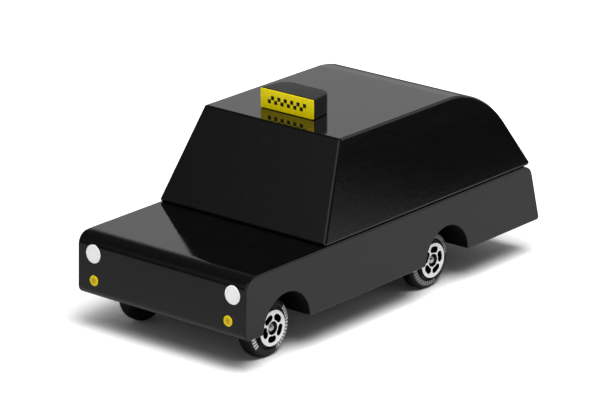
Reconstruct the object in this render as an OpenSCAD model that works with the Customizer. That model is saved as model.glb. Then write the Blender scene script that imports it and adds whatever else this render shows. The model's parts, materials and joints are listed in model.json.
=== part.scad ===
// Toy taxi: a lacquered wooden body and cab on four wheels that turn freely.
// Millimetres. X is the width, Y the length with the nose at -Y, and Z is up.
// The origin is on the floor, under the middle of the lower body.

/* [Lower body] */
// Length of the lower body along its sill
body_length = 90; // [84:1:110]
// Width of the lower body
body_w = 42; // [38:1:50]
// Height of the lower body
body_h = 12.2; // [11:0.1:16]
// How far the top of the nose leans back
nose_lean = 0.4; // [0:0.1:2]
// How far the top of the tail leans forward
tail_lean = 3.2; // [0.5:0.1:5]
// Rounding along the top of the nose
nose_round = 2.8; // [1:0.1:4]
// Rounding along the bottom of the nose
chin_round = 1.2; // [0.3:0.1:2]
// Rounding along the top of the tail
tail_round = 2.8; // [0.5:0.1:4]
// Rounding along the bottom of the tail
heel_round = 0.6; // [0.3:0.1:2]
// Rounding of the long edges and the upright corners
edge_round = 0.35; // [0.2:0.05:1]

/* [Cab] */
// Height of the cab above the lower body
cab_h = 18.2; // [14:0.1:24]
// How far each side of the cab's base stands in from the side of the body
cab_inset = 0.05; // [0.05:0.05:4]
// How far each side of the cab leans in up to the roof
cab_lean = 3.95; // [0.5:0.05:7]
// Distance from the nose to the foot of the windscreen
cab_setback = 22.8; // [18:0.1:28]
// How far the windscreen runs back as it rises
screen_run = 9.4; // [5:0.1:14]
// How far the foot of the rear window stands behind the top of the tail
cab_overhang = 0.3; // [0:0.1:1]
// Slope of the rear window below the level of the roof
rear_slope = 57.9; // [45:0.1:75]
// Radius of the arch from the roof into the rear window
rear_arch = 17.7; // [8:0.1:18]
// Rounding of the cab's edges
cab_round = 0.55; // [0.3:0.05:1.5]

/* [Roof sign] */
// Width of the sign block at its front
sign_w = 13.5; // [11:0.1:18]
// Width of the sign block at its back, before the corners are rounded
sign_back_w = 11.4; // [9:0.1:18]
// Depth of the sign block
sign_d = 6.2; // [5:0.1:9]
// Height of the sign block
sign_h = 4.1; // [3.5:0.1:6]
// Radius of the back corners of the sign block
sign_corner = 2.5; // [1:0.1:4]
// Distance from the top of the windscreen to the sign
sign_setback = 5.8; // [3:0.1:10]
// Place of the sign beside the middle of the roof
sign_offset = -0.9; // [-3:0.1:3]
// Rounding of the sign block's edges
sign_round = 0.25; // [0.2:0.05:0.8]
// Border of the block left free round the panel
panel_border = 0.1; // [0.05:0.05:0.6]
// Thickness of the yellow panel
panel_t = 0.2; // [0.1:0.05:0.4]

/* [Lamp prints] */
// Diameter of a headlight
headlight_d = 3.8; // [3:0.1:5]
// Distance of a headlight's middle from the side of the body
headlight_inset = 3.6; // [3:0.1:6]
// How far the pair of headlights is printed off the middle of the nose
headlight_offset = 0.4; // [-0.6:0.1:0.6]
// Distance of a headlight's middle below the top of the body
headlight_drop = 3.55; // [2.5:0.05:5]
// Diameter of an indicator
indicator_d = 2.25; // [1.5:0.05:3]
// Distance of an indicator's middle from the side of the body
indicator_inset = 4.2; // [3:0.1:6]
// Height of an indicator's middle above the bottom of the body
indicator_rise = 3.4; // [2.5:0.1:4]
// Thickness of the printed film
print_t = 0.12; // [0.1:0.02:0.3]

/* [Wheels] */
// Outer diameter of a tyre
tyre_d = 12; // [11:0.1:14]
// Width of a tyre
tyre_w = 3.6; // [3:0.1:5]
// Rounding of a tyre's shoulders
tyre_shoulder = 1.1; // [0.4:0.1:1.3]
// Diameter of the silver face
face_d = 7; // [6.5:0.1:7.6]
// Thickness of the silver face
face_t = 0.1; // [0.08:0.02:0.4]
// How far the face stands proud of the tyre's side
face_stand = 0.65; // [0.5:0.05:1.5]
// Width of the silver ring outside the windows
ring_w = 0.74; // [0.5:0.01:1]
// Width of a window from its inner to its outer edge
window_w = 1.14; // [0.8:0.02:1.2]
// Width of the spokes between the windows
spoke_w = 0.5; // [0.4:0.05:1]
// Depth of the hub's pockets behind the windows
pocket_d = 0.8; // [0.4:0.1:1.5]
// Diameter of the recess that holds the axle head
recess_d = 2.3; // [2.2:0.05:2.6]
// Depth of that recess in the hub
recess_depth = 0.55; // [0.4:0.05:0.8]
// Diameter of the hub's rims, which hold the tyre between them
rim_d = 8; // [7.8:0.1:8.4]
// Depth of the groove between the rims
groove_d = 0.3; // [0.2:0.05:0.5]
// Width of each rim
rim_w = 0.5; // [0.3:0.05:0.8]
// Diameter of the boss on the hub's inner side
boss_d = 3.2; // [2.6:0.1:4]
// Length of that boss
boss_l = 0.5; // [0.3:0.05:0.9]
// Depth of the hollow round the boss
dish_d = 1; // [0.4:0.1:1.6]
// Turn of the front wheels at rest
front_turn = 66.5; // [0:0.5:72]
// Turn of the rear wheels at rest
rear_turn = 26; // [0:0.5:72]

/* [Running gear] */
// Distance from the nose to the front axle
front_axle_setback = 11.9; // [10:0.1:14]
// Distance between the axles
wheelbase = 48.1; // [42:0.1:55]
// Distance of the axle line below the bottom of the body
axle_drop = 1.3; // [1.2:0.05:2.5]
// Distance of the wheel faces inside the body's sides
wheel_inset = 3.5; // [2:0.1:4.5]
// Least gap between a tyre and its well, which is at the bottom of the body
well_gap = 0.75; // [0.4:0.05:1.5]
// Height of a well's middle above the axle line
well_lift = 1.3; // [0:0.05:1.5]
// Diameter of an axle
axle_d = 1.2; // [1:0.05:1.6]
// Diameter of an axle's domed head
head_d = 1.8; // [1.7:0.05:2]
// Height of an axle's domed head
head_h = 0.5; // [0.3:0.05:0.6]
// Length of a carrier along the body
carrier_l = 9; // [8:0.1:12]
// Thickness of a carrier below the axle line
carrier_under = 1.6; // [1.3:0.1:2.5]
// Rounding of a carrier's corners
carrier_round = 1; // [0.3:0.1:2]
// Distance of the carrier screws from the middle of the body
screw_x = 8; // [4:0.1:9]
// Length of a carrier screw
screw_l = 7; // [5:0.1:9]
// Diameter of a carrier screw's shank
screw_d = 1.8; // [1.4:0.1:2]
// Diameter of a carrier screw's head
screw_head_d = 3.6; // [3:0.1:4]

/* [Dowels] */
// Diameter of the cab dowels
cab_dowel_d = 6; // [4:0.1:8]
// Length of the cab dowels
cab_dowel_l = 14; // [10:0.1:16]
// Distance of the cab dowels from the ends of the cab's base
cab_dowel_inset = 15; // [12:0.5:20]
// Diameter of the sign dowel
sign_dowel_d = 3; // [2:0.1:4]
// Length of the sign dowel
sign_dowel_l = 5; // [3:0.1:6]

/* [Clearances] */
// Radial clearance of a wheel on its axle
running_gap = 0.05; // [0.02:0.01:0.1]
// Clearance of fixed pieces in their seats
seat_gap = 0.03; // [0.02:0.01:0.1]
// End play of a wheel against its carrier
end_play = 0.2; // [0.1:0.05:0.4]
// End play of a wheel against the axle's head
head_play = 0.1; // [0.05:0.05:0.2]
// Gap between a hub's boss and the floor of its well
well_floor_gap = 0.3; // [0.2:0.05:0.6]
// Spare depth at the ends of the dowel holes
dowel_spare = 0.3; // [0.1:0.1:1]

/* [Hidden] */
$fn = 64;

// Cuts run past the faces that they open by this much
overrun = 1;
// Steps in one rounded corner of an outline
corner_steps = 8;
// Facets of the balls that round the edges of the cab and of the sign
ball_facets = 32;
sign_facets = 16;
// Steps along the cab's rear arch
arch_steps = 12;
window_count = 5;

// The left side of the car is +X
left = 1;
right = -1;

// Heights and places along the car
axle_z = tyre_d / 2;
body_z = axle_z + axle_drop;
cab_z = body_z + body_h;
roof_z = cab_z + cab_h;
nose_y = -body_length / 2;
front_axle_y = nose_y + front_axle_setback;
rear_axle_y = front_axle_y + wheelbase;
cab_front_y = nose_y + cab_setback;
cab_back_y = nose_y + body_length - tail_lean + cab_overhang;
sign_y = cab_front_y + screen_run + sign_setback;

// Stations from the wheel's face inwards to the carrier
face_x = body_w / 2 - wheel_inset;
hub_length = face_stand + tyre_w + boss_l;
hub_inner_x = face_x - hub_length;
well_x = hub_inner_x - well_floor_gap;
carrier_end_x = hub_inner_x - end_play;
carrier_half = well_x - well_floor_gap;
carrier_h = axle_drop + carrier_under;
well_r = sqrt(pow(tyre_d / 2 + well_gap, 2) + well_lift * (well_lift - 2 * axle_drop));

// Wheel radii and heights, seen from the face at zero
face_r = face_d / 2;
window_outer = face_r - ring_w;
window_inner = window_outer - window_w;
window_mid = (window_outer + window_inner) / 2;
window_half_angle = 180 / window_count - asin((spoke_w + window_w) / 2 / window_mid);
rim_r = rim_d / 2;
groove_r = rim_r - groove_d;
tyre_outer_z = -face_stand;
tyre_inner_z = tyre_outer_z - tyre_w;
recess_floor_z = -face_t - recess_depth;
head_seat_x = face_x + recess_floor_z + head_play;
dome_r = (pow(head_d / 2, 2) + pow(head_h, 2)) / (2 * head_h);

// Carrier screws: a countersunk head sunk a little below the carrier's face
screw_head_h = (screw_head_d - screw_d) / 2;
screw_sink = 0.1;
screw_tip = 1.5;
screw_edge = 0.3;
screw_y = carrier_l / 2 - screw_head_d / 2 - screw_edge;
drive_w = 0.5;
drive_d = 0.5;
drive_l = screw_head_d - screw_d / 2;

// Points of a closed outline whose corners are rounded: corners are [x, y, radius]
function rounded(corners) =
    [for (i = [0 : len(corners) - 1])
        each corner_arc(
            corners[(i + len(corners) - 1) % len(corners)],
            corners[i],
            corners[(i + 1) % len(corners)])];

// Arc that is tangent to both sides of the corner p, or p itself where its radius is zero
function corner_arc(before, p, after) =
    p[2] == 0 ? [flat(p)] :
    let (a = unit(flat(before) - flat(p)),
         b = unit(flat(after) - flat(p)),
         half = acos(a * b) / 2,
         middle = flat(p) + unit(a + b) * p[2] / sin(half),
         start = flat(p) + a * p[2] / tan(half) - middle,
         end = flat(p) + b * p[2] / tan(half) - middle,
         sweep = 180 - 2 * half)
    [for (k = [0 : corner_steps])
        let (t = sweep * k / corner_steps)
        middle + (start * sin(sweep - t) + end * sin(t)) / sin(sweep)];

function flat(p) = [p[0], p[1]];
function unit(v) = v / norm(v);

// Corners of a rounded rectangle about its middle
function rounded_box(w, h, r) =
    rounded([[-w / 2, -h / 2, r], [w / 2, -h / 2, r], [w / 2, h / 2, r], [-w / 2, h / 2, r]]);

// Side outline of the lower body: Y from the middle, Z from its bottom
function body_outline() =
    rounded([
        [nose_y, 0, chin_round],
        [nose_y + body_length, 0, heel_round],
        [nose_y + body_length - tail_lean, body_h, tail_round],
        [nose_y + nose_lean, body_h, nose_round]]);

// Lays an outline drawn in Y and Z across the car, w wide
module across(w) {
    rotate([90, 0, 90])
        linear_extrude(height = w, center = true)
            children();
}

// Lays an outline drawn in X and Z along the car, l long
module along(l) {
    rotate([90, 0, 0])
        linear_extrude(height = l, center = true)
            children();
}

// The wooden block of the lower body before its wells and holes are cut
module body_blank() {
    translate([0, 0, body_z])
        intersection() {
            across(body_w)
                polygon(body_outline());
            translate([0, 0, body_h / 2])
                along(body_length + overrun)
                    polygon(rounded_box(body_w, body_h, edge_round));
            linear_extrude(height = body_h)
                polygon(rounded_box(body_w, body_length, edge_round));
        }
}

// Places a piece drawn with its axis along Z, outer face at zero, at a wheel
module at_wheel(side, y, turn) {
    translate([side * face_x, y, axle_z])
        rotate([0, side * 90, 0])
            rotate([0, 0, turn])
                children();
}

// Round cut for one wheel, from the side of the body to the floor of the well
module well(side, y) {
    translate([side * well_x, y, axle_z + well_lift])
        rotate([0, side * 90, 0])
            cylinder(r = well_r, h = body_w / 2 - well_x + overrun);
}

module at_cab_dowels() {
    for (y = [cab_front_y + cab_dowel_inset, cab_back_y - cab_dowel_inset])
        translate([0, y, cab_z])
            children();
}

module at_sign_dowel() {
    translate([sign_offset, sign_y + sign_d / 2, roof_z])
        children();
}

// Screw places on one carrier, at the level of the screw's head
module at_screws(y) {
    for (end = [left, right])
        translate([end * screw_x, y + end * screw_y, body_z - carrier_h + screw_sink])
            children();
}

// Hole for a dowel that is half in each of the two pieces
module dowel_hole(d, l) {
    cylinder(d = d + 2 * seat_gap, h = l + 2 * dowel_spare, center = true);
}

// A screw pointing up from its head, grown by a gap for its hole
module screw_body(gap) {
    rotate_extrude()
        polygon([
            [0, 0],
            [screw_head_d / 2 + gap, 0],
            [screw_d / 2 + gap, screw_head_h],
            [screw_d / 2 + gap, screw_l - screw_tip],
            [0, screw_l + gap]]);
}

module screw_hole() {
    screw_body(seat_gap);
    translate([0, 0, -overrun])
        cylinder(d = screw_head_d + 2 * seat_gap, h = overrun);
}

module lower_body() {
    color("#1b1b1b")
        difference() {
            body_blank();
            for (side = [left, right], y = [front_axle_y, rear_axle_y])
                well(side, y);
            at_cab_dowels()
                dowel_hole(cab_dowel_d, cab_dowel_l);
            for (y = [front_axle_y, rear_axle_y])
                at_screws(y)
                    screw_body(seat_gap);
        }
}

// Cab outline inset by the rounding ball: Y from the nose, Z from the cab's base
cab_len_y = cab_back_y - nose_y;
screen_len = norm([screen_run, cab_h]);
arch_y = cab_len_y - (rear_arch + (cab_h - rear_arch) * cos(rear_slope)) / sin(rear_slope);

function screen_ball(z) =
    [cab_setback + (z * screen_run + cab_round * screen_len) / cab_h, z];

function arch_ball(t) =
    [arch_y + (rear_arch - cab_round) * sin(t), cab_h - rear_arch + (rear_arch - cab_round) * cos(t)];

function cab_balls() = [
    screen_ball(cab_round),
    screen_ball(cab_h - cab_round),
    for (k = [0 : arch_steps]) arch_ball(rear_slope * k / arch_steps),
    [cab_len_y - cab_round * (1 + cos(rear_slope)) / sin(rear_slope), cab_round]];

// Half width of the tapered cab at a height above its base, inset by the rounding ball
cab_taper = cab_lean / cab_h;
function cab_ball_x(z) = body_w / 2 - cab_inset - cab_taper * z - cab_round * norm([1, cab_taper]);

module cab() {
    color("#161616")
        difference() {
            hull()
                for (ball = cab_balls(), side = [left, right])
                    translate([side * cab_ball_x(ball[1]), nose_y + ball[0], cab_z + ball[1]])
                        sphere(r = cab_round, $fn = ball_facets);
            at_cab_dowels()
                dowel_hole(cab_dowel_d, cab_dowel_l);
            at_sign_dowel()
                dowel_hole(sign_dowel_d, sign_dowel_l);
        }
}

module cab_dowels() {
    color("#c8a878")
        at_cab_dowels()
            cylinder(d = cab_dowel_d, h = cab_dowel_l, center = true);
}

// Half width of the sign block at a depth from its front, inset by the rounding ball
sign_taper = (sign_w - sign_back_w) / 2 / sign_d;
function sign_ball_x(depth) = sign_w / 2 - sign_taper * depth - sign_round * norm([1, sign_taper]);

// Plan of the sign block inset by the same ball
function sign_balls() =
    let (front = sign_round,
         back = sign_d - sign_round,
         corner = sign_corner - sign_round)
    rounded([
        [-sign_ball_x(front), front, 0],
        [sign_ball_x(front), front, 0],
        [sign_ball_x(back), back, corner],
        [-sign_ball_x(back), back, corner]]);

module roof_sign() {
    color("#1e1e1f")
        difference() {
            hull()
                for (ball = sign_balls(), z = [sign_round, sign_h - sign_round])
                    translate([sign_offset + ball[0], sign_y + ball[1], roof_z + z])
                        sphere(r = sign_round, $fn = sign_facets);
            at_sign_dowel()
                dowel_hole(sign_dowel_d, sign_dowel_l);
        }
}

module sign_dowel() {
    color("#c8a878")
        at_sign_dowel()
            cylinder(d = sign_dowel_d, h = sign_dowel_l, center = true);
}

module sign_panel() {
    color("#e4d000")
        translate([sign_offset, sign_y - panel_t / 2, roof_z + sign_h / 2])
            along(panel_t)
                polygon(rounded_box(sign_w - 2 * panel_border, sign_h - 2 * panel_border, sign_round));
}

// A round film that follows the nose of the body
module nose_print(x, z, d) {
    difference() {
        intersection() {
            translate([x, nose_y - overrun, z])
                rotate([-90, 0, 0])
                    cylinder(d = d, h = nose_lean + nose_round + overrun);
            translate([0, -print_t, 0])
                body_blank();
        }
        body_blank();
    }
}

module headlight(side) {
    color("#ececec")
        nose_print(headlight_offset + side * (body_w / 2 - headlight_inset), cab_z - headlight_drop, headlight_d);
}

module indicator(side) {
    color("#e0b800")
        nose_print(side * (body_w / 2 - indicator_inset), body_z + indicator_rise, indicator_d);
}

// Moulded bar under the body, with a boss at each end that the wheel runs against
module carrier(y) {
    color("#202022")
        difference() {
            union() {
                translate([0, y, body_z - carrier_h])
                    linear_extrude(height = carrier_h)
                        polygon(rounded_box(2 * carrier_half, carrier_l, carrier_round));
                translate([0, y, axle_z])
                    rotate([0, 90, 0])
                        cylinder(r = axle_drop - seat_gap, h = 2 * carrier_end_x, center = true);
            }
            translate([0, y, axle_z])
                rotate([0, 90, 0])
                    cylinder(d = axle_d + 2 * seat_gap, h = 2 * (carrier_end_x + overrun), center = true);
            at_screws(y)
                screw_hole();
        }
}

module carrier_screws() {
    color("#b8b8b8")
        for (y = [front_axle_y, rear_axle_y])
            at_screws(y)
                difference() {
                    screw_body(0);
                    for (turn = [0, 90])
                        rotate([0, 0, turn])
                            cube([drive_l, drive_w, 2 * drive_d], center = true);
                }
}

// Steel axle with a domed head at each end
module axle(y) {
    color("#c4c6c8")
        translate([0, y, axle_z]) {
            rotate([0, 90, 0])
                cylinder(d = axle_d, h = 2 * head_seat_x, center = true);
            for (side = [left, right])
                translate([side * head_seat_x, 0, 0])
                    rotate([0, side * 90, 0])
                        rotate_extrude()
                            intersection() {
                                translate([0, head_h - dome_r])
                                    circle(r = dome_r);
                                square([head_d / 2, head_h]);
                            }
        }
}

module tyre() {
    color("#26262a")
        rotate_extrude()
            polygon(rounded([
                [rim_r + seat_gap, tyre_inner_z, 0],
                [tyre_d / 2, tyre_inner_z, tyre_shoulder],
                [tyre_d / 2, tyre_outer_z, tyre_shoulder],
                [rim_r + seat_gap, tyre_outer_z, 0],
                [rim_r + seat_gap, tyre_outer_z - rim_w, 0],
                [groove_r + seat_gap, tyre_outer_z - rim_w - seat_gap, 0],
                [groove_r + seat_gap, tyre_inner_z + rim_w + seat_gap, 0],
                [rim_r + seat_gap, tyre_inner_z + rim_w, 0]]));
}

// Five curved slots with round ends, from a height down by a depth
module windows(top, depth) {
    for (i = [0 : window_count - 1])
        rotate([0, 0, i * 360 / window_count])
            translate([0, 0, top - depth]) {
                rotate([0, 0, -window_half_angle])
                    rotate_extrude(angle = 2 * window_half_angle)
                        translate([window_inner, 0])
                            square([window_w, depth]);
                for (end = [-window_half_angle, window_half_angle])
                    rotate([0, 0, end])
                        translate([window_mid, 0, 0])
                            cylinder(d = window_w, h = depth);
            }
}

module hub() {
    bore_r = axle_d / 2 + running_gap;
    boss_z = -hub_length;
    dish_r = groove_r - rim_w;
    color("#141416")
        difference() {
            rotate_extrude()
                polygon([
                    [bore_r, boss_z],
                    [boss_d / 2, boss_z],
                    [boss_d / 2, tyre_inner_z + dish_d],
                    [dish_r, tyre_inner_z + dish_d],
                    [dish_r, tyre_inner_z],
                    [rim_r, tyre_inner_z],
                    [rim_r, tyre_inner_z + rim_w],
                    [groove_r, tyre_inner_z + rim_w],
                    [groove_r, tyre_outer_z - rim_w],
                    [rim_r, tyre_outer_z - rim_w],
                    [rim_r, tyre_outer_z],
                    [face_r, tyre_outer_z],
                    [face_r, -face_t],
                    [recess_d / 2, -face_t],
                    [recess_d / 2, recess_floor_z],
                    [bore_r, recess_floor_z]]);
            windows(-face_t + overrun, pocket_d + overrun);
        }
}

module face() {
    color("#e4e5e6")
        difference() {
            translate([0, 0, -face_t])
                rotate_extrude()
                    translate([recess_d / 2, 0])
                        square([face_r - recess_d / 2, face_t]);
            windows(overrun, face_t + 2 * overrun);
        }
}

lower_body();
cab();
cab_dowels();
roof_sign();
sign_dowel();
sign_panel();
headlight(left);  // headlight_left
headlight(right);  // headlight_right
indicator(left);  // indicator_left
indicator(right);  // indicator_right
carrier(front_axle_y);  // front_carrier
carrier(rear_axle_y);  // rear_carrier
carrier_screws();
axle(front_axle_y);  // front_axle
axle(rear_axle_y);  // rear_axle
at_wheel(left, front_axle_y, front_turn) tyre();  // front_left_tyre
at_wheel(left, front_axle_y, front_turn) hub();  // front_left_hub
at_wheel(left, front_axle_y, front_turn) face();  // front_left_face
at_wheel(right, front_axle_y, front_turn) tyre();  // front_right_tyre
at_wheel(right, front_axle_y, front_turn) hub();  // front_right_hub
at_wheel(right, front_axle_y, front_turn) face();  // front_right_face
at_wheel(left, rear_axle_y, rear_turn) tyre();  // rear_left_tyre
at_wheel(left, rear_axle_y, rear_turn) hub();  // rear_left_hub
at_wheel(left, rear_axle_y, rear_turn) face();  // rear_left_face
at_wheel(right, rear_axle_y, rear_turn) tyre();  // rear_right_tyre
at_wheel(right, rear_axle_y, rear_turn) hub();  // rear_right_hub
at_wheel(right, rear_axle_y, rear_turn) face();  // rear_right_face
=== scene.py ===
"""Toy taxi: lacquered skins, wheels, lamps and sign for a wooden toy car, on its packed model."""
import json
import math

import bpy
import numpy as np
from bpy.props import FloatProperty, FloatVectorProperty, IntProperty, PointerProperty
from mathutils import Matrix, Vector


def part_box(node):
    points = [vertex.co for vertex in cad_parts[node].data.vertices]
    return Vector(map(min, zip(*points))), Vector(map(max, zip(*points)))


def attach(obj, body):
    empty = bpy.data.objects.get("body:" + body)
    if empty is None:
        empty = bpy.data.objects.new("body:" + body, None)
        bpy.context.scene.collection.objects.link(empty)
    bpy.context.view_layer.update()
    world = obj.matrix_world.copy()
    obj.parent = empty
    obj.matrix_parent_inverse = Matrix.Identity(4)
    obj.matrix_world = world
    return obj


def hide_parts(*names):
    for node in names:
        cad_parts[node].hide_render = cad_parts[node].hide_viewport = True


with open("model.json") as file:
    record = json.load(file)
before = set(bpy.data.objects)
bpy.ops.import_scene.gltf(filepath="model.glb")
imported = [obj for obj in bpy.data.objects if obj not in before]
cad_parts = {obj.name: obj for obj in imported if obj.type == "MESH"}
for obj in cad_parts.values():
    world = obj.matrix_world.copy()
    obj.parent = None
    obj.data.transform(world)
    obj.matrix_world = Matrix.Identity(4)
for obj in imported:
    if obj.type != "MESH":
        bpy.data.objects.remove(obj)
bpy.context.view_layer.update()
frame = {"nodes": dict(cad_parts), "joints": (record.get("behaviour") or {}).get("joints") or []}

bl_info = {
    "name": "Toy taxi",
    "version": (1, 0, 0),
    "blender": (4, 5, 0),
    "location": "3D View > Sidebar > Toy taxi",
    "description": "Dresses the packed model of a wooden toy taxi",
    "category": "Add Mesh",
}

MM, CM = 0.001, 0.01
# Points nearer than this, in metres, become one
WELD = 1e-7
CHASSIS = "chassis"
ENDS = ("front", "rear")
LEFT, RIGHT = 1.0, -1.0
CORNERS = {
    "front_left": LEFT,
    "front_right": RIGHT,
    "rear_left": LEFT,
    "rear_right": RIGHT,
}
X, Y, Z = np.eye(3)


def box_of(node):
    """Lowest and highest corner of a node's box, as arrays."""
    low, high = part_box(node)
    return np.array(low), np.array(high)


BODY_LOW, BODY_HIGH = box_of("lower_body")
CAB_LOW, CAB_HIGH = box_of("cab")
SIGN_LOW, SIGN_HIGH = box_of("roof_sign")
PANEL_LOW, PANEL_HIGH = box_of("sign_panel")
AXLE_AT = {joint["child"]: np.array(joint["pos_m"]) for joint in frame["joints"]}


def length(label, millimetres, words):
    """A length property, given in millimetres and held in metres."""
    return FloatProperty(
        name=label, description=words, default=millimetres * MM, precision=5, unit="LENGTH")


def angle(label, degrees, words):
    """An angle property, given in degrees and held in radians."""
    return FloatProperty(
        name=label, description=words, default=math.radians(degrees), subtype="ANGLE")


def colour(label, value, words):
    """A colour property in linear red, green and blue."""
    return FloatVectorProperty(
        name=label, description=words, default=value, size=3, subtype="COLOR", min=0.0, max=1.0)


class TaxiBodySizes(bpy.types.PropertyGroup):
    """Roundings and cut-outs of the lower body."""

    sill: length("Sill length", 90.0, "Length along the bottom before its ends are rounded")
    nose_lean: length("Nose lean", 0.4, "How far the top of the nose leans back")
    tail_lean: length("Tail lean", 3.2, "How far the top of the tail leans forward")
    nose_round: length("Nose round", 2.5, "Rounding along the top of the nose")
    crown: length("Crown", 3.0, "Length of the hood that slopes down to the nose")
    crown_drop: length("Crown drop", 0.27, "How far the hood would fall to a square nose")
    crown_round: length("Crown round", 18.0, "Radius from the hood into its slope")
    chin_round: length("Chin round", 1.6, "Rounding along the bottom of the nose")
    tail_round: length("Tail round", 2.8, "Rounding along the top of the tail")
    heel_round: length("Heel round", 0.6, "Rounding along the bottom of the tail")
    edge_round: length("Edge round", 0.3, "Rounding of the side edges")
    arch_round: length("Arch round", 0.12, "Rounding of the arches' edges")
    foot_round: length("Arch foot round", 0.4, "Rounding where an arch meets the bottom")
    well_radius: length("Well radius", 6.624, "Radius of the wheel wells")
    well_lift: length("Well lift", 1.3, "Height of a well's middle above its axle")
    well_floor: length("Well floor", 12.45, "Distance of the wells' floors from the middle")


class TaxiCabSizes(bpy.types.PropertyGroup):
    """Slopes and roundings of the cab."""

    base_width: length("Base width", 41.9, "Width of the cab at its base")
    roof_width: length("Roof width", 34.0, "Width of the roof")
    setback: length("Setback", 22.8, "Distance from the nose to the foot of the windscreen")
    screen_run: length("Screen run", 9.4, "How far the windscreen runs back as it rises")
    overhang: length("Overhang", 0.3, "How far the cab's foot stands behind the top of the tail")
    rear_slope: angle("Rear slope", 57.9, "Slope of the rear window below the roof's level")
    rear_arch: length("Rear arch", 17.7, "Radius from the roof into the rear window")
    edge_round: length("Edge round", 0.55, "Rounding of the cab's edges")


class TaxiSignSizes(bpy.types.PropertyGroup):
    """Roundings and print of the roof sign."""

    back_width: length("Back width", 11.4, "Width at the back before its corners are rounded")
    corner: length("Back corner", 2.5, "Radius of the sign's back corners")
    edge_round: length("Edge round", 0.25, "Rounding of the sign's edges")
    panel_round: length("Panel round", 0.08, "Rounding of the yellow panel's edges")
    check: length("Check", 0.8, "Side of one square of the check band")
    check_columns: IntProperty(name="Columns", description="Squares along the band", default=12)
    check_rows: IntProperty(name="Rows", description="Squares across the band", default=2)


class TaxiLampSizes(bpy.types.PropertyGroup):
    """The printed lamps."""

    film: length("Film", 0.12, "Thickness of the printed film")
    film_edge: length("Film edge", 0.1, "Width of the film's rounded rim")
    shrink: length("Shrink", 0.08, "How far the ink stays inside the film's outline")


class TaxiWheelSizes(bpy.types.PropertyGroup):
    """Sections of the wheels."""

    shoulder: length("Shoulder", 1.45, "Rounding of a tyre's shoulders")
    bead: length("Bead", 0.1, "Rounding of a tyre's inner edge")
    channel: length("Channel", 0.45, "Depth of the dark channel between face and tyre")
    lip: length("Lip", 0.25, "Width of the tyre's share of that channel")
    face_edge: length("Face edge", 0.045, "Rounding of the silver face's edges")
    ring: length("Ring", 0.62, "Width of the silver ring outside the windows")
    window: length("Window", 1.28, "Width of a window")
    spoke: length("Spoke", 0.4, "Width of the spokes between the windows")
    pocket: length("Pocket", 0.8, "Depth of the hub's pockets behind the windows")
    recess: length("Recess", 2.65, "Diameter of the recess for the axle head")
    recess_depth: length("Recess depth", 0.55, "Depth of the recess in the hub")
    bore: length("Bore", 1.3, "Diameter of the hub's bore")
    boss: length("Boss", 3.2, "Diameter of the boss on the hub's inner side")
    dish: length("Dish", 1.0, "Depth of the hollow round the boss")
    groove: length("Groove", 0.3, "Depth of the tyre's groove in the hub")
    rim: length("Rim", 0.5, "Width of the rims beside the groove")
    axle: length("Axle", 1.2, "Diameter of an axle")
    head_height: length("Head height", 0.5, "Height of an axle's domed head")
    front_turn: angle("Front turn", 66.5, "Turn of the front wheels at rest")
    rear_turn: angle("Rear turn", 26.0, "Turn of the rear wheels at rest")
    windows: IntProperty(name="Windows", description="Windows in a wheel face", default=5)


class TaxiColours(bpy.types.PropertyGroup):
    """Colours of the finishes."""

    lacquer: colour("Lacquer", (0.0018, 0.0018, 0.0019), "Black lacquer")
    yellow: colour("Yellow", (0.88, 0.72, 0.0), "Sign panel")
    black_print: colour("Black print", (0.008, 0.008, 0.008), "Checks on the sign")
    white_print: colour("White print", (0.78, 0.78, 0.78), "Headlights")
    amber_print: colour("Amber print", (0.68, 0.54, 0.0), "Indicators")
    rubber: colour("Rubber", (0.003, 0.003, 0.0032), "Treads")
    # Paler colour of the tyres' outer sides: painted light that stands in for the lit side and the
    # floor's reflection on it
    sidewall_painted_light: colour("Sidewall", (0.021, 0.021, 0.0215), "Paler sides of the tyres")
    mark: colour("Tyre marks", (0.62, 0.62, 0.62), "Plain marks on the tyres' sides")
    plastic: colour("Plastic", (0.004, 0.004, 0.0043), "Hubs and carriers")
    silver: colour("Silver", (0.90, 0.90, 0.905), "Wheel faces")
    steel: colour("Steel", (0.70, 0.70, 0.71), "Axles and screws")
    beech: colour("Beech", (0.50, 0.33, 0.17), "Dowels")
    floor: colour("Floor", (0.88, 0.88, 0.88), "Studio floor")


class TaxiStageSettings(bpy.types.PropertyGroup):
    """Camera, floor and light."""

    azimuth: angle("Azimuth", 39.573, "Camera's turn from straight ahead towards the left side")
    elevation: angle("Elevation", 18.755, "Camera's height above the horizon")
    lens: FloatProperty(
        name="Lens", description="Focal length in millimetres", default=220.7, unit="CAMERA")
    distance: length("Distance", 719.2, "Distance from the camera to the aim plane")
    aim_back: length("Aim back", 7.5, "Aim point behind the middle of the car")
    aim_up: length("Aim up", 18.967, "Aim point above the floor")
    aim_right: length("Aim right", -7.726, "Sideways move of the picture's middle")
    aim_rise: length("Aim rise", -2.71, "Upward move of the picture's middle")
    floor_half: length("Floor half", 700.0, "Half the side of the floor")


SETTINGS = {
    "toy_taxi_body": TaxiBodySizes,
    "toy_taxi_cab": TaxiCabSizes,
    "toy_taxi_sign": TaxiSignSizes,
    "toy_taxi_lamps": TaxiLampSizes,
    "toy_taxi_wheels": TaxiWheelSizes,
    "toy_taxi_colours": TaxiColours,
    "toy_taxi_stage": TaxiStageSettings,
}


# Surfaces

def unit(vectors):
    """Vectors scaled to a length of one along the last axis."""
    return vectors / np.linalg.norm(vectors, axis=-1, keepdims=True)


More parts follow.
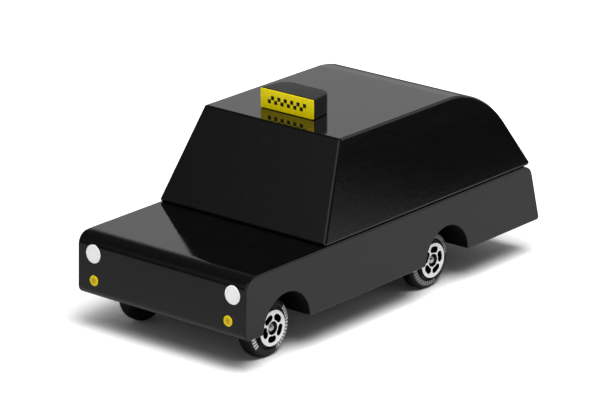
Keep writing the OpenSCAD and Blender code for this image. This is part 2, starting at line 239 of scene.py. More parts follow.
def outline(corners, steps=12):
    """Rounded outline of a counter-clockwise polygon, as points and outward normals.

    Each corner is (a, b, radius). Its normals turn evenly from the normal of the side before to
    that of the side after, and its points lie one radius from the middle that touches both sides.
    A corner with no radius gives its own point twice, with both normals, which keeps it sharp.
    """
    places = np.array([corner[:2] for corner in corners], float)
    ahead = unit(np.roll(places, -1, axis=0) - places)
    points, normals = [], []
    for here, (place, corner) in enumerate(zip(places, corners)):
        into, out = ahead[here - 1], ahead[here]
        turn = math.atan2(into[0] * out[1] - into[1] * out[0], into @ out)
        radius = corner[2]
        first = math.atan2(-into[0], into[1])
        facing = first + turn * np.linspace(0, 1, steps + 1 if radius else 2)
        around = np.stack([np.cos(facing), np.sin(facing)], axis=1)
        side = math.copysign(radius, turn)
        middle = place - into * abs(radius * math.tan(turn / 2)) - around[0] * side
        points.append(middle + around * side)
        normals.append(around)
    return np.concatenate(points), np.concatenate(normals)


def arc(middle, radius, start, end, steps):
    """Points and outward directions of a circle's arc, in degrees from the first axis."""
    turn = np.radians(np.linspace(start, end, steps + 1))
    around = np.stack([np.cos(turn), np.sin(turn)], axis=1)
    return np.array(middle) + radius * around, around


def spherical(start, end, steps):
    """Directions that turn evenly from each start direction to its end, one row a step."""
    start, end = np.broadcast_arrays(start, end)
    sweep = np.arccos(np.clip((start * end).sum(axis=-1, keepdims=True), -1, 1))
    parts = np.linspace(0, 1, steps + 1)[:, None, None]
    return (start * np.sin(sweep * (1 - parts)) + end * np.sin(sweep * parts)) / np.sin(sweep)


class Skin:
    """Collects grids of points with normals, and welds them into one mesh."""

    def __init__(self):
        self.points, self.normals, self.uvs, self.quads = [], [], [], []
        self.count = 0

    def grid(self, points, normals, uvs=(0.0, 0.0), closed=False):
        """Adds a grid of rows and columns, whose last column meets the first if it is closed."""
        points = np.asarray(points, float)
        rows, columns = points.shape[:2]
        normals = np.broadcast_to(normals, points.shape)
        uvs = np.broadcast_to(uvs, (rows, columns, 2))
        index = self.count + np.arange(rows * columns).reshape(rows, columns)
        if closed:
            index = np.concatenate([index, index[:, :1]], axis=1)
        corners = [index[:-1, :-1], index[:-1, 1:], index[1:, 1:], index[1:, :-1]]
        self.quads.append(np.stack(corners, axis=-1).reshape(-1, 4))
        self.points.append(points.reshape(-1, 3))
        self.normals.append(normals.reshape(-1, 3))
        self.uvs.append(uvs.reshape(-1, 2))
        self.count += rows * columns
        return self

    def cap(self, loop, normal):
        """Fills a flat closed loop with a strip that joins its first half to its second."""
        half = len(loop) // 2
        return self.grid(np.stack([loop[:half], loop[::-1][:half]]), normal)

    def build(self, name):
        """Welds the grids, turns every face outwards by its normals and makes the object."""
        points, normals = np.concatenate(self.points), np.concatenate(self.normals)
        uvs, quads = np.concatenate(self.uvs), np.concatenate(self.quads)
        keys = np.round(points / WELD).astype(np.int64)
        _, first, place = np.unique(keys, axis=0, return_index=True, return_inverse=True)
        place = place.reshape(-1)
        across = points[quads[:, 2]] - points[quads[:, 0]]
        along = points[quads[:, 3]] - points[quads[:, 1]]
        outward = (np.cross(across, along) * normals[quads].sum(axis=1)).sum(axis=1) >= 0
        quads = np.where(outward[:, None], quads, quads[:, ::-1])
        same = place[quads] == place[np.roll(quads, -1, axis=1)]
        faces = [quads[same.sum(axis=1) == 0]]
        for spare in range(4):
            single = same[:, spare] & (same.sum(axis=1) == 1)
            faces.append(np.delete(quads[single], spare, axis=1))
        mesh = bpy.data.meshes.new(name)
        lists = [face for group in faces for face in place[group].tolist()]
        mesh.from_pydata(points[first].tolist(), [], lists)
        mesh.update()
        corners = np.concatenate([group.reshape(-1) for group in faces])
        layer = mesh.uv_layers.new(name="surface")
        layer.data.foreach_set("uv", uvs[corners].astype(np.float32).reshape(-1))
        mesh.shade_smooth()
        mesh.normals_split_custom_set(unit(normals[corners]).tolist())
        piece = bpy.data.objects.new(name, mesh)
        bpy.context.scene.collection.objects.link(piece)
        return piece


def rounded_prism(skin, points, normals, half, taper, radius, axes, middle, steps=8):
    """A rounded outline carried along an axis between two end planes, with ball-rounded edges.

    The axes are those of the width and of the outline. Each end plane's half width shrinks with
    the outline's second coordinate by the taper. A ball of the edge radius rolls inside the outline
    and the end plane: its middles are the outline moved inwards by the radius, and its skin turns
    from the outline's normal to the plane's normal.
    """
    axes = np.array(axes)
    balls = points - radius * normals
    lean = math.hypot(1, taper)
    reach = half - taper * balls[:, 1] - radius * lean
    band = np.concatenate([np.zeros((len(normals), 1)), normals], axis=1)
    rows, turned = [], []
    for side in (LEFT, RIGHT):
        plane = np.array([side, 0, taper]) / lean
        around = spherical(band, plane, steps)
        rows.append(np.concatenate([side * reach[:, None], balls], axis=1) + radius * around)
        turned.append(around)
        skin.cap(rows[-1][-1] @ axes + middle, plane @ axes)
    grid = np.concatenate([rows[0][::-1], rows[1]]) @ axes + middle
    facing = np.concatenate([turned[0][::-1], turned[1]]) @ axes
    return skin.grid(grid, facing, closed=True)


def spin(turn):
    """Turns row vectors about the third axis, from the first axis towards the second."""
    return np.array([
        [math.cos(turn), math.sin(turn), 0],
        [-math.sin(turn), math.cos(turn), 0],
        [0, 0, 1]])


class WheelFrame:
    """Places wheel shapes: their third axis is the axle, pointing out of the car's side.

    The origin is where the axle's line meets the front of the silver face.
    """

    def __init__(self, corner, turn=0.0):
        self.corner, self.side = corner, CORNERS[corner]
        low, high = box_of(corner + "_face")
        hinge = AXLE_AT[corner + "_wheel"]
        self.origin = np.array([high[0] if self.side > 0 else low[0], hinge[1], hinge[2]])
        self.axes = spin(turn) @ np.stack([-Z, self.side * Y, self.side * X])

    def place(self, points):
        """Points on the wheel's own axes, set in the car."""
        return np.asarray(points) @ self.axes + self.origin

    def face(self, normals):
        """Directions on the wheel's own axes, turned to the car's."""
        return np.asarray(normals) @ self.axes

    def section(self, name):
        """Outer radius of one of the wheel's nodes, and its inner and outer end along the axle."""
        low, high = box_of(self.corner + "_" + name)
        inner, outer = sorted(self.side * (end[0] - self.origin[0]) for end in (low, high))
        return (high[1] - low[1]) / 2, inner, outer


def revolve(skin, wheel, profile, normals, columns, start=0.0, closed=False):
    """A profile of radius and height turned about the wheel's axle.

    The surface coordinates are the share of a turn and the radius in centimetres, with one added
    on the inner half of the profile.
    """
    if closed:
        profile = np.concatenate([profile, profile[:1]])
        normals = np.concatenate([normals, normals[:1]])
    turn = start + np.linspace(0, 2 * math.pi, columns + 1)
    ring = np.stack([np.cos(turn), np.sin(turn)], axis=1)

    def spun(pairs):
        flat = pairs[:, None, :1] * ring[None]
        up = np.broadcast_to(pairs[:, None, 1:], flat.shape[:2] + (1,))
        return np.concatenate([flat, up], axis=2)

    reach = profile[:, 0] / CM + (profile[:, 1] <= profile[:, 1].mean())
    around = np.linspace(0, 1, columns + 1)
    uvs = np.stack(np.broadcast_arrays(around[None], reach[:, None]), axis=-1)
    return skin.grid(wheel.place(spun(profile)), wheel.face(spun(normals)), uvs)


# Shader writing

class Value:
    """A socket that arithmetic is written on: each operator adds one Math node."""

    def __init__(self, recipe, socket):
        self.recipe, self.socket = recipe, socket

    def _math(self, operation, first, second):
        return self.recipe.node("ShaderNodeMath", {"operation": operation}, {0: first, 1: second})

    def __add__(self, other):
        return self._math("ADD", self, other)

    __radd__ = __add__

    def __sub__(self, other):
        return self._math("SUBTRACT", self, other)

    def __rsub__(self, other):
        return self._math("SUBTRACT", other, self)

    def __mul__(self, other):
        return self._math("MULTIPLY", self, other)

    __rmul__ = __mul__

    def __truediv__(self, other):
        return self._math("DIVIDE", self, other)

    def __gt__(self, other):
        return self._math("GREATER_THAN", self, other)

    def __lt__(self, other):
        return self._math("LESS_THAN", self, other)

    def __mod__(self, other):
        return self._math("FLOORED_MODULO", self, other)

    def __abs__(self):
        return self._math("ABSOLUTE", self, 0.0)

    def __floor__(self):
        return self._math("FLOOR", self, 0.0)


# Range that a noise mostly keeps to
NOISE_LOW, NOISE_HIGH = 0.3, 0.7


class Recipe:
    """One node tree. Every node comes from node(), with its settings set before its sockets."""

    def __init__(self, owner):
        owner.use_nodes = True
        self.tree = owner.node_tree
        self.tree.nodes.clear()

    def node(self, kind, settings=None, inputs=None, output=0):
        """Adds a node and gives its output, or the node itself where it ends the tree."""
        made = self.tree.nodes.new(kind)
        for key, value in (settings or {}).items():
            setattr(made, key, value)
        for key, value in (inputs or {}).items():
            if isinstance(value, Value):
                self.tree.links.new(value.socket, made.inputs[key])
            else:
                made.inputs[key].default_value = value
        return Value(self, made.outputs[output]) if len(made.outputs) else made

    def place(self, output="Object"):
        """Coordinates of the point that is shaded."""
        return self.node("ShaderNodeTexCoord", output=output)

    def ray(self, kind):
        """One for rays of a kind, and zero for others."""
        return self.node("ShaderNodeLightPath", output="Is " + kind + " Ray")

    def gloss_ray(self):
        """One for the rays that show in metal, lacquer and glass."""
        return self.ray("Glossy") + self.ray("Transmission")

    def part(self, vector, axis):
        """One coordinate of a vector."""
        return self.node("ShaderNodeSeparateXYZ", inputs={0: vector}, output=axis)

    def measure(self, operation, first, second):
        """A number worked out from two vectors."""
        return self.node(
            "ShaderNodeVectorMath", {"operation": operation}, {0: first, 1: second}, "Value")

    def stretched(self, scale, turn=(0.0, 0.0, 0.0)):
        """Object coordinates, stretched and turned."""
        return self.node("ShaderNodeMapping", inputs={
            "Vector": self.place(), "Scale": scale, "Rotation": turn})

    def noise(self, vector, scale, detail=3.0, rough=0.55):
        """Noise of a scale in cells per metre."""
        return self.node("ShaderNodeTexNoise", inputs={
            "Vector": vector, "Scale": scale, "Detail": detail, "Roughness": rough})

    def ramp(self, value, low, high, start=0.0, end=1.0):
        """The value carried from one range to another, smoothly and held at both ends."""
        return self.node("ShaderNodeMapRange", {"interpolation_type": "SMOOTHSTEP"}, {
            0: value, 1: low, 2: high, 3: start, 4: end})

    def spread(self, noise, start, end):
        """A noise carried from its usual range to another."""
        return self.ramp(noise, NOISE_LOW, NOISE_HIGH, start, end)

    def within(self, value, low, high, soft):
        """One between two limits, inside which it has soft edges, and zero elsewhere."""
        return self.ramp(value, low, low + soft) * self.ramp(value, high, high - soft)

    def blend(self, factor, first, second):
        """Colours mixed by a factor."""
        return self.node("ShaderNodeMix", {"data_type": "RGBA"}, {
            0: factor, 6: solid(first), 7: solid(second)}, output=2)

    def mottled(self, noise, shade, dark, light, low=NOISE_LOW, high=NOISE_HIGH):
        """A colour that a noise makes darker and lighter, each by a factor."""
        return self.blend(self.ramp(noise, low, high), tone(shade, dark), tone(shade, light))

    def bump(self, height, distance, strength=1.0):
        """A normal tilted by the slopes of a height."""
        return self.node("ShaderNodeBump", inputs={
            "Height": height, "Distance": distance, "Strength": strength})

    def surface(self, **inputs):
        """Ends the tree in a principled shader, whose sockets are named in small letters."""
        named = {}
        for key, value in inputs.items():
            socket = key.replace("_", " ").title().replace("Ior", "IOR")
            named[socket] = solid(value) if key == "base_color" else value
        shader = self.node("ShaderNodeBsdfPrincipled", inputs=named)
        self.node("ShaderNodeOutputMaterial", inputs={"Surface": shader})


def solid(value):
    """A colour with full alpha, or a socket as it is."""
    return value if isinstance(value, Value) else (*value, 1.0)


def tone(value, factor):
    """A colour made lighter or darker by a factor."""
    return tuple(part * factor for part in value)


def finish(make):
    """Keeps one material for each finish and its options, made on first use."""
    made = {}

    def get(*options):
        if options not in made:
            material = bpy.data.materials.new(make.__name__)
            make(Recipe(material), bpy.context.scene.toy_taxi_colours, *options)
            made[options] = material
        return made[options]

    return get


# Finishes

# Heights of the grain, the peel, the sanding streaks and the pores in the lacquer, in metres
GRAIN_HEIGHT, PEEL_HEIGHT, STREAK_HEIGHT, PORE_HEIGHT = 1.6e-6, 6e-6, 5.5e-6, 8e-6
# Slope of the sanding streaks, near that of the windscreen
STREAK_LEAN = math.radians(28)
# Roughness of the gloss lacquer, the sign's satin lacquer, the hubs and the carriers
GLOSS, SATIN, HUB_GLOSS, CARRIER_GLOSS = 0.055, 0.3, 0.3, 0.42
# Inside the wells: added roughness for a matt film, and Metallic that, with the black colour, takes
# the film's reflection off it as painted shade
WELL_ROUGHNESS, WELL_SHADE_METALLIC = 0.55, 0.8
# How far the matt film and its painted shade reach past a well's wall, as a factor, and stay inside
# the body's sides
WELL_DARK_REACH, WELL_DARK_INSET = 1.005, 0.15 * MM
# Specular level of inks, rubber and moulded plastic
DULL_SPECULAR = 0.2
# Marks on a tyre: count in a whole turn, and half an arc of them as a share of a turn
MARK_COUNT, MARK_ARC = 44.0, 0.15
# Limits and soft edge of the marks' ring, as a radius in centimetres
MARK_RING = (0.43, 0.525, 0.005)
# Limits and soft edge of a mark across its own share of the ring
MARK_SHARE = (0.14, 0.86, 0.06)
# Radii in centimetres between which the outer side's painted light passes into the darker tread
TREAD_START = (0.52, 0.58)
# Middle of the gap between the two arcs of marks, as a share of a turn, and how strongly the marks
# show, fainter on the rear tyres
TYRE_PRINT = {"front": (0.277, 1.0), "rear": (0.08, 0.4)}


def lacquered(recipe, colours, height, gloss, matt_and_shade=0.0):
    """Ends a tree in black lacquer over wood, with its grain in the colour and clouds in the gloss.

    Where it is matt and shaded it is rough, and Metallic with the black colour takes most of the
    clear film's own reflection off it, a painted shade.
    """
    grain = recipe.noise(recipe.stretched((1.0, 0.06, 1.0)), scale=2600.0, detail=4.0)
    cloud = recipe.noise(recipe.place(), scale=60.0, detail=2.0)
    recipe.surface(
        base_color=recipe.mottled(grain, colours.lacquer, 1.0, 1.8, low=0.35),
        roughness=recipe.spread(cloud, gloss, gloss * 1.5) + matt_and_shade * WELL_ROUGHNESS,
        metallic=matt_and_shade * WELL_SHADE_METALLIC,
        ior=1.5,
        normal=recipe.bump(height + grain * GRAIN_HEIGHT, distance=1.0))


def peel(recipe):
    """Orange peel of the gloss lacquer, as a height."""
    return recipe.noise(recipe.place(), scale=900.0, detail=2.0) * PEEL_HEIGHT


@finish
def body_lacquer(recipe, colours, well_radius, well_lift):
    """Gloss lacquer with orange peel, which turns matt inside the wells and loses its reflection
    there as painted shade.
    """
    place = recipe.place()
    across, along, up = (recipe.part(place, axis) for axis in range(3))
    # The wells' hollows, where the lacquer turns matt and Metallic takes its reflection off as
    # painted shade
    hollow = 0.0
    for end in ENDS:
        _, middle, low = AXLE_AT[end + "_left_wheel"]
        behind, above = along - middle, up - (low + well_lift)
        hollow = hollow + ((behind * behind + above * above) < (well_radius * WELL_DARK_REACH) ** 2)
    inside = hollow * (abs(across) < BODY_HIGH[0] - WELL_DARK_INSET)
    lacquered(recipe, colours, peel(recipe), GLOSS, inside)


@finish
def cab_lacquer(recipe, colours):
    """Gloss lacquer with orange peel over sanding streaks, which lean with the windscreen."""
    leaning = recipe.stretched((1.0, 1.0, 0.05), (STREAK_LEAN, 0.0, 0.0))
    streak = recipe.noise(leaning, scale=1900.0)
    lacquered(recipe, colours, peel(recipe) + streak * STREAK_HEIGHT, GLOSS)


@finish
def sign_lacquer(recipe, colours):
    """Thin satin lacquer, which the sign's end grain has dulled."""
    pores = recipe.noise(recipe.place(), scale=1900.0)
    lacquered(recipe, colours, pores * PORE_HEIGHT, SATIN)


@finish
def yellow_check(recipe, colours, check, columns, rows):
    """Satin yellow film with a band of black checks about its middle."""
    place = recipe.place()
    middle = (PANEL_LOW + PANEL_HIGH) / 2
    across = (recipe.part(place, 0) - middle[0]) / check + columns / 2
    up = (recipe.part(place, 2) - middle[2]) / check + rows / 2
    inside = (across > 0.0) * (across < columns) * (up > 0.0) * (up < rows)
    checks = inside * (((math.floor(across) + math.floor(up)) % 2.0) < 0.5)
    grain = recipe.noise(place, scale=1500.0)
    paint = recipe.mottled(grain, colours.yellow, 0.94, 1.04)
    recipe.surface(
        base_color=recipe.blend(checks, paint, colours.black_print),
        roughness=recipe.spread(grain, 0.32, 0.44),
        specular_ior_level=DULL_SPECULAR,
        normal=recipe.bump(grain, distance=1e-5, strength=0.5))


@finish
def lamp_print(recipe, colours, ink, heart):
    """Printed ink: a slightly uneven film, whose heart differs from its rim by three factors."""
    shade = tuple(getattr(colours, ink))
    middle = tuple(part * factor for part, factor in zip(shade, heart))
    rim = recipe.part(recipe.place("UV"), 1)
    fleck = recipe.noise(recipe.place(), scale=1800.0)
    even = recipe.mottled(fleck, shade, 0.95, 1.02)
    recipe.surface(
        base_color=recipe.blend(recipe.ramp(rim, 0.9, 0.2), even, middle),
        roughness=recipe.spread(fleck, 0.35, 0.46),
        specular_ior_level=DULL_SPECULAR,
        normal=recipe.bump(fleck, distance=8e-6, strength=0.5))


@finish
def tyre_rubber(recipe, colours, gap, strength):
    """Matt rubber with painted light that makes the outer side paler, where two arcs of plain marks
    are printed.
    """
    surface = recipe.place("UV")
    around, reach = recipe.part(surface, 0), recipe.part(surface, 1)
    speck = recipe.noise(recipe.place(), scale=2500.0)
    from_arc = abs((around - gap) % 0.5 - 0.25)
    row = recipe.within((around * MARK_COUNT) % 1.0, *MARK_SHARE)
    worn = recipe.ramp(speck, 0.2, 0.4, 0.6 * strength, strength)
    marks = recipe.within(reach, *MARK_RING) * row * (from_arc < MARK_ARC) * worn
    # The outer side's paler colour is painted light; the tread and the inner side keep the dark
    # rubber
    wall = recipe.mottled(speck, colours.sidewall_painted_light, 0.8, 1.25)
    bare = recipe.blend(recipe.ramp(reach, *TREAD_START), wall, colours.rubber)
    recipe.surface(
        base_color=recipe.blend(marks, bare, colours.mark),
        roughness=recipe.spread(speck, 0.5, 0.66),
        specular_ior_level=DULL_SPECULAR,
        normal=recipe.bump(speck * 0.4 + marks, distance=3e-5, strength=0.6))


@finish
def black_plastic(recipe, colours, gloss):
    """Moulded black plastic with a fine spark texture."""
    spark = recipe.noise(recipe.place(), scale=3200.0, detail=2.0)
    recipe.surface(
        base_color=recipe.mottled(spark, colours.plastic, 1.0, 1.6),
        roughness=recipe.spread(spark, gloss, gloss + 0.15),
        specular_ior_level=DULL_SPECULAR,
        normal=recipe.bump(spark, distance=1e-5, strength=0.5))


@finish
def silver_foil(recipe, colours):
    """Satin silver foil stamped on plastic: partly metal, with a faint uneven lustre."""
    fleck = recipe.noise(recipe.place(), scale=4200.0, detail=2.0)
    recipe.surface(
        base_color=recipe.mottled(fleck, colours.silver, 0.95, 1.0),
        metallic=recipe.spread(fleck, 0.25, 0.35),
        roughness=recipe.spread(fleck, 0.3, 0.4),
        normal=recipe.bump(fleck, distance=6e-6, strength=0.4))


@finish
def bright_steel(recipe, colours):
    """Drawn steel wire with fine scratches."""
    scratch = recipe.noise(recipe.stretched((1.0, 0.2, 1.0)), scale=5200.0)
    recipe.surface(
        base_color=recipe.mottled(scratch, colours.steel, 0.85, 1.0),
        metallic=1.0,
        roughness=recipe.spread(scratch, 0.22, 0.38),
        normal=recipe.bump(scratch, distance=6e-6, strength=0.5))


@finish
def bare_beech(recipe, colours):
    """Turned beech with its flecked grain along the dowel."""
    grain = recipe.noise(recipe.stretched((1.0, 1.0, 0.12)), scale=1400.0, detail=4.0)
    recipe.surface(
        base_color=recipe.mottled(grain, colours.beech, 0.72, 1.0, low=0.35, high=0.65),
        roughness=recipe.spread(grain, 0.5, 0.65),
        normal=recipe.bump(grain, distance=2e-5, strength=0.6))


def dress(piece, body, material, node):
    """Gives a finished piece its material, its slot, the body it rides on and what it replaces."""
    piece.data.materials.append(material)
    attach(piece, body)
    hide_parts(node)


# The lower body

def arch_chain(middle, drop, size, steps=40, foot_steps=8):
    """One arch of the body's bottom line: a foot round, the well's circle and a foot round.

    A foot round touches the bottom line and the outside of the circle, so its middle lies one foot
    radius above the line and one foot radius outside the circle.
    """
    foot, radius = size.foot_round, size.well_radius
    away = math.sqrt((radius + foot) ** 2 - (foot + drop) ** 2)
    slant = math.degrees(math.asin((foot + drop) / (radius + foot)))
    first = arc((middle - away, foot), foot, 270, 360 - slant, foot_steps)
    crown = arc((middle, -drop), radius, 180 - slant, slant, steps)
    last = arc((middle + away, foot), foot, 180 + slant, 270, foot_steps)
    points = np.concatenate([first[0], crown[0], last[0]])
    return points, np.concatenate([first[1], -crown[1], last[1]])


def body_chains(size, steps=20):
    """Lines of the body's side outline from nose to tail, as pairs of points and normals.

    The blank outline is a rounded polygon, whose hood slopes a little towards the nose. It is split
    at its foremost and rearmost points, and the two arches are let into its bottom line. The lines
    are the plain bottom, the arched bottom and the top, and the arches' ends come after them.
    """
    half, height = size.sill / 2, BODY_HIGH[2] - BODY_LOW[2]
    points, normals = outline([
        (-half, 0.0, size.chin_round),
        (half, 0.0, size.heel_round),
        (half - size.tail_lean, height, size.tail_round),
        (size.nose_lean + size.crown - half, height, size.crown_round),
        (size.nose_lean - half, height - size.crown_drop, size.nose_round)], steps)
    first, last = int(np.argmin(points[:, 0])), int(np.argmax(points[:, 0]))
    drop = BODY_LOW[2] - AXLE_AT["front_left_wheel"][2] - size.well_lift
    arches = [arch_chain(AXLE_AT[end + "_left_wheel"][1], drop, size) for end in ENDS]
    chin, heel = slice(first, steps + 1), slice(steps + 1, last + 1)
    plain = [(points[chin], normals[chin]), (points[heel], normals[heel])]
    arched = [plain[0], *arches, plain[1]]
    top = tuple(np.concatenate([part[last:], part[:first + 1]])[::-1] for part in (points, normals))
    joined = [tuple(np.concatenate(parts) for parts in zip(*chain)) for chain in (plain, arched)]
    spans = [(arch[0][0, 0], arch[0][-1, 0]) for arch in arches]
    return *joined, top, spans


def sampled(chain, along):
    """A line's heights and normals read off at the given places along the car."""
    points, normals = chain
    height = np.interp(along, points[:, 0], points[:, 1])
    facing = np.stack([np.interp(along, points[:, 0], normals[:, k]) for k in (0, 1)], axis=1)
    return np.stack([along, height], axis=1), unit(facing)


def lift(flat, across):
    """Outline points along and above the car, set at a distance across it."""
    return np.concatenate([np.broadcast_to(across, flat.shape[:-1])[..., None], flat], axis=-1)


def body_skin(size, steps=8):
    """The lower body as bands of its side outline across the car.

    The plain outline spans the middle and the arched one spans each side, from the floors of the
    wells to the side edges. There a quarter circle turns it into the flat side, whose radius falls
    from that of the long edges to that of the arches over three foot rounds of height. The side is
    ruled between the outline's bottom and top lines, as the floors of the wells are between the
    bottom and the arches.
    """
    plain, arched, top, spans = body_chains(size)
    along = np.unique(np.concatenate([arched[0][:, 0], top[0][:, 0]]).round(decimals=9))
    bottom, bottom_facing = sampled(plain, along)
    arch, arch_facing = sampled(arched, along)
    upper, upper_facing = sampled(top, along)
    base = np.array([0.0, 0.0, BODY_LOW[2]])
    half, floor, count = BODY_HIGH[0], size.well_floor, len(along)
    rise = np.clip((arch - bottom)[:, 1] / (3 * size.foot_round), 0, 1)
    skin = Skin()

    def loop(low, high):
        return np.concatenate([low, high[::-1]])

    def band(points, normals, stations):
        rows = np.stack([lift(points, station) for station in stations])
        skin.grid(rows + base, lift(normals, 0.0), closed=True)

    band(loop(bottom, upper), loop(bottom_facing, upper_facing), (-floor, floor))
    sides, facing = loop(arch, upper), loop(arch_facing, upper_facing)
    low_edge = size.edge_round + rise * (size.arch_round - size.edge_round)
    edge = loop(low_edge, np.full(count, size.edge_round))
    inset = sides - edge[:, None] * facing
    for side in (LEFT, RIGHT):
        band(sides, facing, (side * floor, side * (half - edge)))
        turned = spherical(lift(facing, 0.0), side * X, steps)
        rounded = lift(inset, side * (half - edge)) + edge[:, None] * turned
        skin.grid(rounded + base, turned, closed=True)
        rim = lift(inset, side * half) + base
        skin.grid(np.stack([rim[:count], rim[count:][::-1]]), side * X)
        for start, end in spans:
            inside = (along >= start - WELD) & (along <= end + WELD)
            rows = np.stack([lift(line[inside], side * floor) for line in (bottom, arch)])
            skin.grid(rows + base, side * X)
    return skin


class TAXI_OT_lower_body(bpy.types.Operator):
    """Builds the lacquered skin of the lower body, with its wells"""

    bl_idname = "toy_taxi.lower_body"
    bl_label = "Lower body"

    def execute(self, context):
        size = context.scene.toy_taxi_body
        lacquer = body_lacquer(size.well_radius, size.well_lift)
        piece = body_skin(size).build("lower_body_skin")
        dress(piece, CHASSIS, lacquer, "lower_body")
        return {"FINISHED"}


# The cab

def cab_skin(size, body):
    """The cab as a rounded prism across the car: its side outline between two leaning sides.

    The outline's corners are the foot and the top of the windscreen, the foot of the rear window,
    and the corner where roof and rear window would meet, which takes the wide rear arch.
    """
    height = CAB_HIGH[2] - CAB_LOW[2]
    front = size.setback - body.sill / 2
    back = body.sill / 2 - body.tail_lean + size.overhang
    points, normals = outline([
        (front, 0.0, size.edge_round),
        (back, 0.0, size.edge_round),
        (back - height / math.tan(size.rear_slope), height, size.rear_arch),
        (front + size.screen_run, height, size.edge_round)], steps=28)
    taper = (size.base_width - size.roof_width) / 2 / height
    middle = np.array([0.0, 0.0, CAB_LOW[2]])
    return rounded_prism(
        Skin(), points, normals, size.base_width / 2, taper, size.edge_round, (X, Y, Z), middle)


class TAXI_OT_cab(bpy.types.Operator):
    """Builds the lacquered skin of the cab"""

    bl_idname = "toy_taxi.cab"
    bl_label = "Cab"

    def execute(self, context):
        piece = cab_skin(context.scene.toy_taxi_cab, context.scene.toy_taxi_body).build("cab_skin")
        dress(piece, CHASSIS, cab_lacquer(), "cab")
        return {"FINISHED"}


# The roof sign

def sign_skin(size):
    """The sign block: a plan with square front corners and round back corners, carried upwards."""
    (left, front, low), (right, back, high) = SIGN_LOW, SIGN_HIGH
    middle, half = (left + right) / 2, size.back_width / 2
    points, normals = outline([
        (left, front, size.edge_round),
        (right, front, size.edge_round),
        (middle + half, back, size.corner),
        (middle - half, back, size.corner)], steps=24)
    middle = np.array([0.0, 0.0, (low + high) / 2])
    return rounded_prism(
        Skin(), points, normals, (high - low) / 2, 0.0, size.edge_round, (Z, X, Y), middle)


def panel_skin(size):
    """The yellow panel: a thin plate with soft corners, carried along the car."""
    (left, front, low), (right, back, high) = PANEL_LOW, PANEL_HIGH
    points, normals = outline([
        (left, low, size.edge_round),
        (right, low, size.edge_round),
        (right, high, size.edge_round),
        (left, high, size.edge_round)], steps=10)
    middle, half = np.array([0.0, (front + back) / 2, 0.0]), (back - front) / 2
    return rounded_prism(
        Skin(), points, normals, half, 0.0, size.panel_round, (Y, X, Z), middle, steps=4)


class TAXI_OT_roof_sign(bpy.types.Operator):
    """Builds the sign block and its yellow panel with a plain check band"""

    bl_idname = "toy_taxi.roof_sign"
    bl_label = "Roof sign"

    def execute(self, context):
        size = context.scene.toy_taxi_sign
        block = sign_skin(size).build("roof_sign_skin")
        dress(block, CHASSIS, sign_lacquer(), "roof_sign")
        panel = panel_skin(size).build("sign_panel_film")
        checks = yellow_check(size.check, size.check_columns, size.check_rows)
        dress(panel, CHASSIS, checks, "sign_panel")
        return {"FINISHED"}


# The printed lamps

# Slot and colour of each kind, and what its heart's red, green and blue are multiplied by
LAMP_INKS = {
    "headlight": ("white_print", "white_print", (1.03, 1.03, 1.03)),
    "indicator": ("yellow_print", "amber_print", (0.68, 0.51, 1.0)),
}
# Flat rings of a film, as shares of its radius, and its steps over the rim and all round
FILM_RINGS, RIM_STEPS, FILM_STEPS = np.linspace(0.3, 0.85, 5), 6, 96


def lamp_skin(node, body, lamps):
    """A round film on the nose: rings about its middle, with a rounded rim and a flat back.

    Each ring lies on the nose's own line, read off at its height, and stands off it by the film's
    thickness, which falls to nothing at the rim.
    """
    low, high = box_of(node)
    middle, radius = (low + high) / 2, (high[0] - low[0]) / 2 - lamps.shrink
    flat = np.concatenate([[0.0], FILM_RINGS * radius])
    edge = np.linspace(0, math.pi / 2, RIM_STEPS + 1)
    rings = np.concatenate([flat, radius - lamps.film_edge * (1 - np.sin(edge)), [0.0]])
    height = np.concatenate([np.ones_like(flat), np.cos(edge), [0.0]])[:, None] * lamps.film
    lean = np.concatenate([np.zeros_like(flat), np.sin(edge)])[:, None, None]
    turn = np.linspace(0, 2 * math.pi, FILM_STEPS + 1)
    x = middle[0] + rings[:, None] * np.cos(turn)
    z = middle[2] + rings[:, None] * np.sin(turn)
    _, _, (line, line_facing), _ = body_chains(body)
    rising = slice(0, int(np.argmax(line[:, 1])) + 1)
    levels = line[rising, 1] + BODY_LOW[2]
    ahead, up = (np.interp(z, levels, part) for part in line_facing[rising].T)
    facing = unit(np.stack([np.zeros_like(z), ahead, up], axis=-1))
    y = np.interp(z, levels, line[rising, 0]) + height * facing[..., 1]
    z = z + height * facing[..., 2]
    outward = np.stack(np.broadcast_arrays(np.cos(turn), 0.0, np.sin(turn)), axis=-1)
    front = facing[:-1] * np.sqrt(1 - lean ** 2) + outward * lean
    points = np.stack([x, y, z], axis=-1)
    share = turn / (2 * math.pi)
    uvs = np.stack(np.broadcast_arrays(share, rings[:, None] / radius), axis=-1)
    skin = Skin().grid(points[:-1], front, uvs[:-1])
    return skin.grid(points[-2:], -facing[-2:], uvs[-2:])


class TAXI_OT_lamps(bpy.types.Operator):
    """Prints the headlights and the indicators on the nose"""

    bl_idname = "toy_taxi.lamps"
    bl_label = "Lamps"

    def execute(self, context):
        scene = context.scene
        for kind, (slot, ink, heart) in LAMP_INKS.items():
            for side in ("left", "right"):
                node = kind + "_" + side
                film = lamp_skin(node, scene.toy_taxi_body, scene.toy_taxi_lamps)
                dress(film.build(node + "_film"), CHASSIS, lamp_print(ink, heart), node)
        return {"FINISHED"}


# The wheels

# Steps along each of the four sides of a window's share, and round the silver face's edges
SHARE_STEPS, FACE_EDGE_STEPS = 14, 4
# Rounding of the hub's turned edges
HUB_EDGE = 0.05 * MM


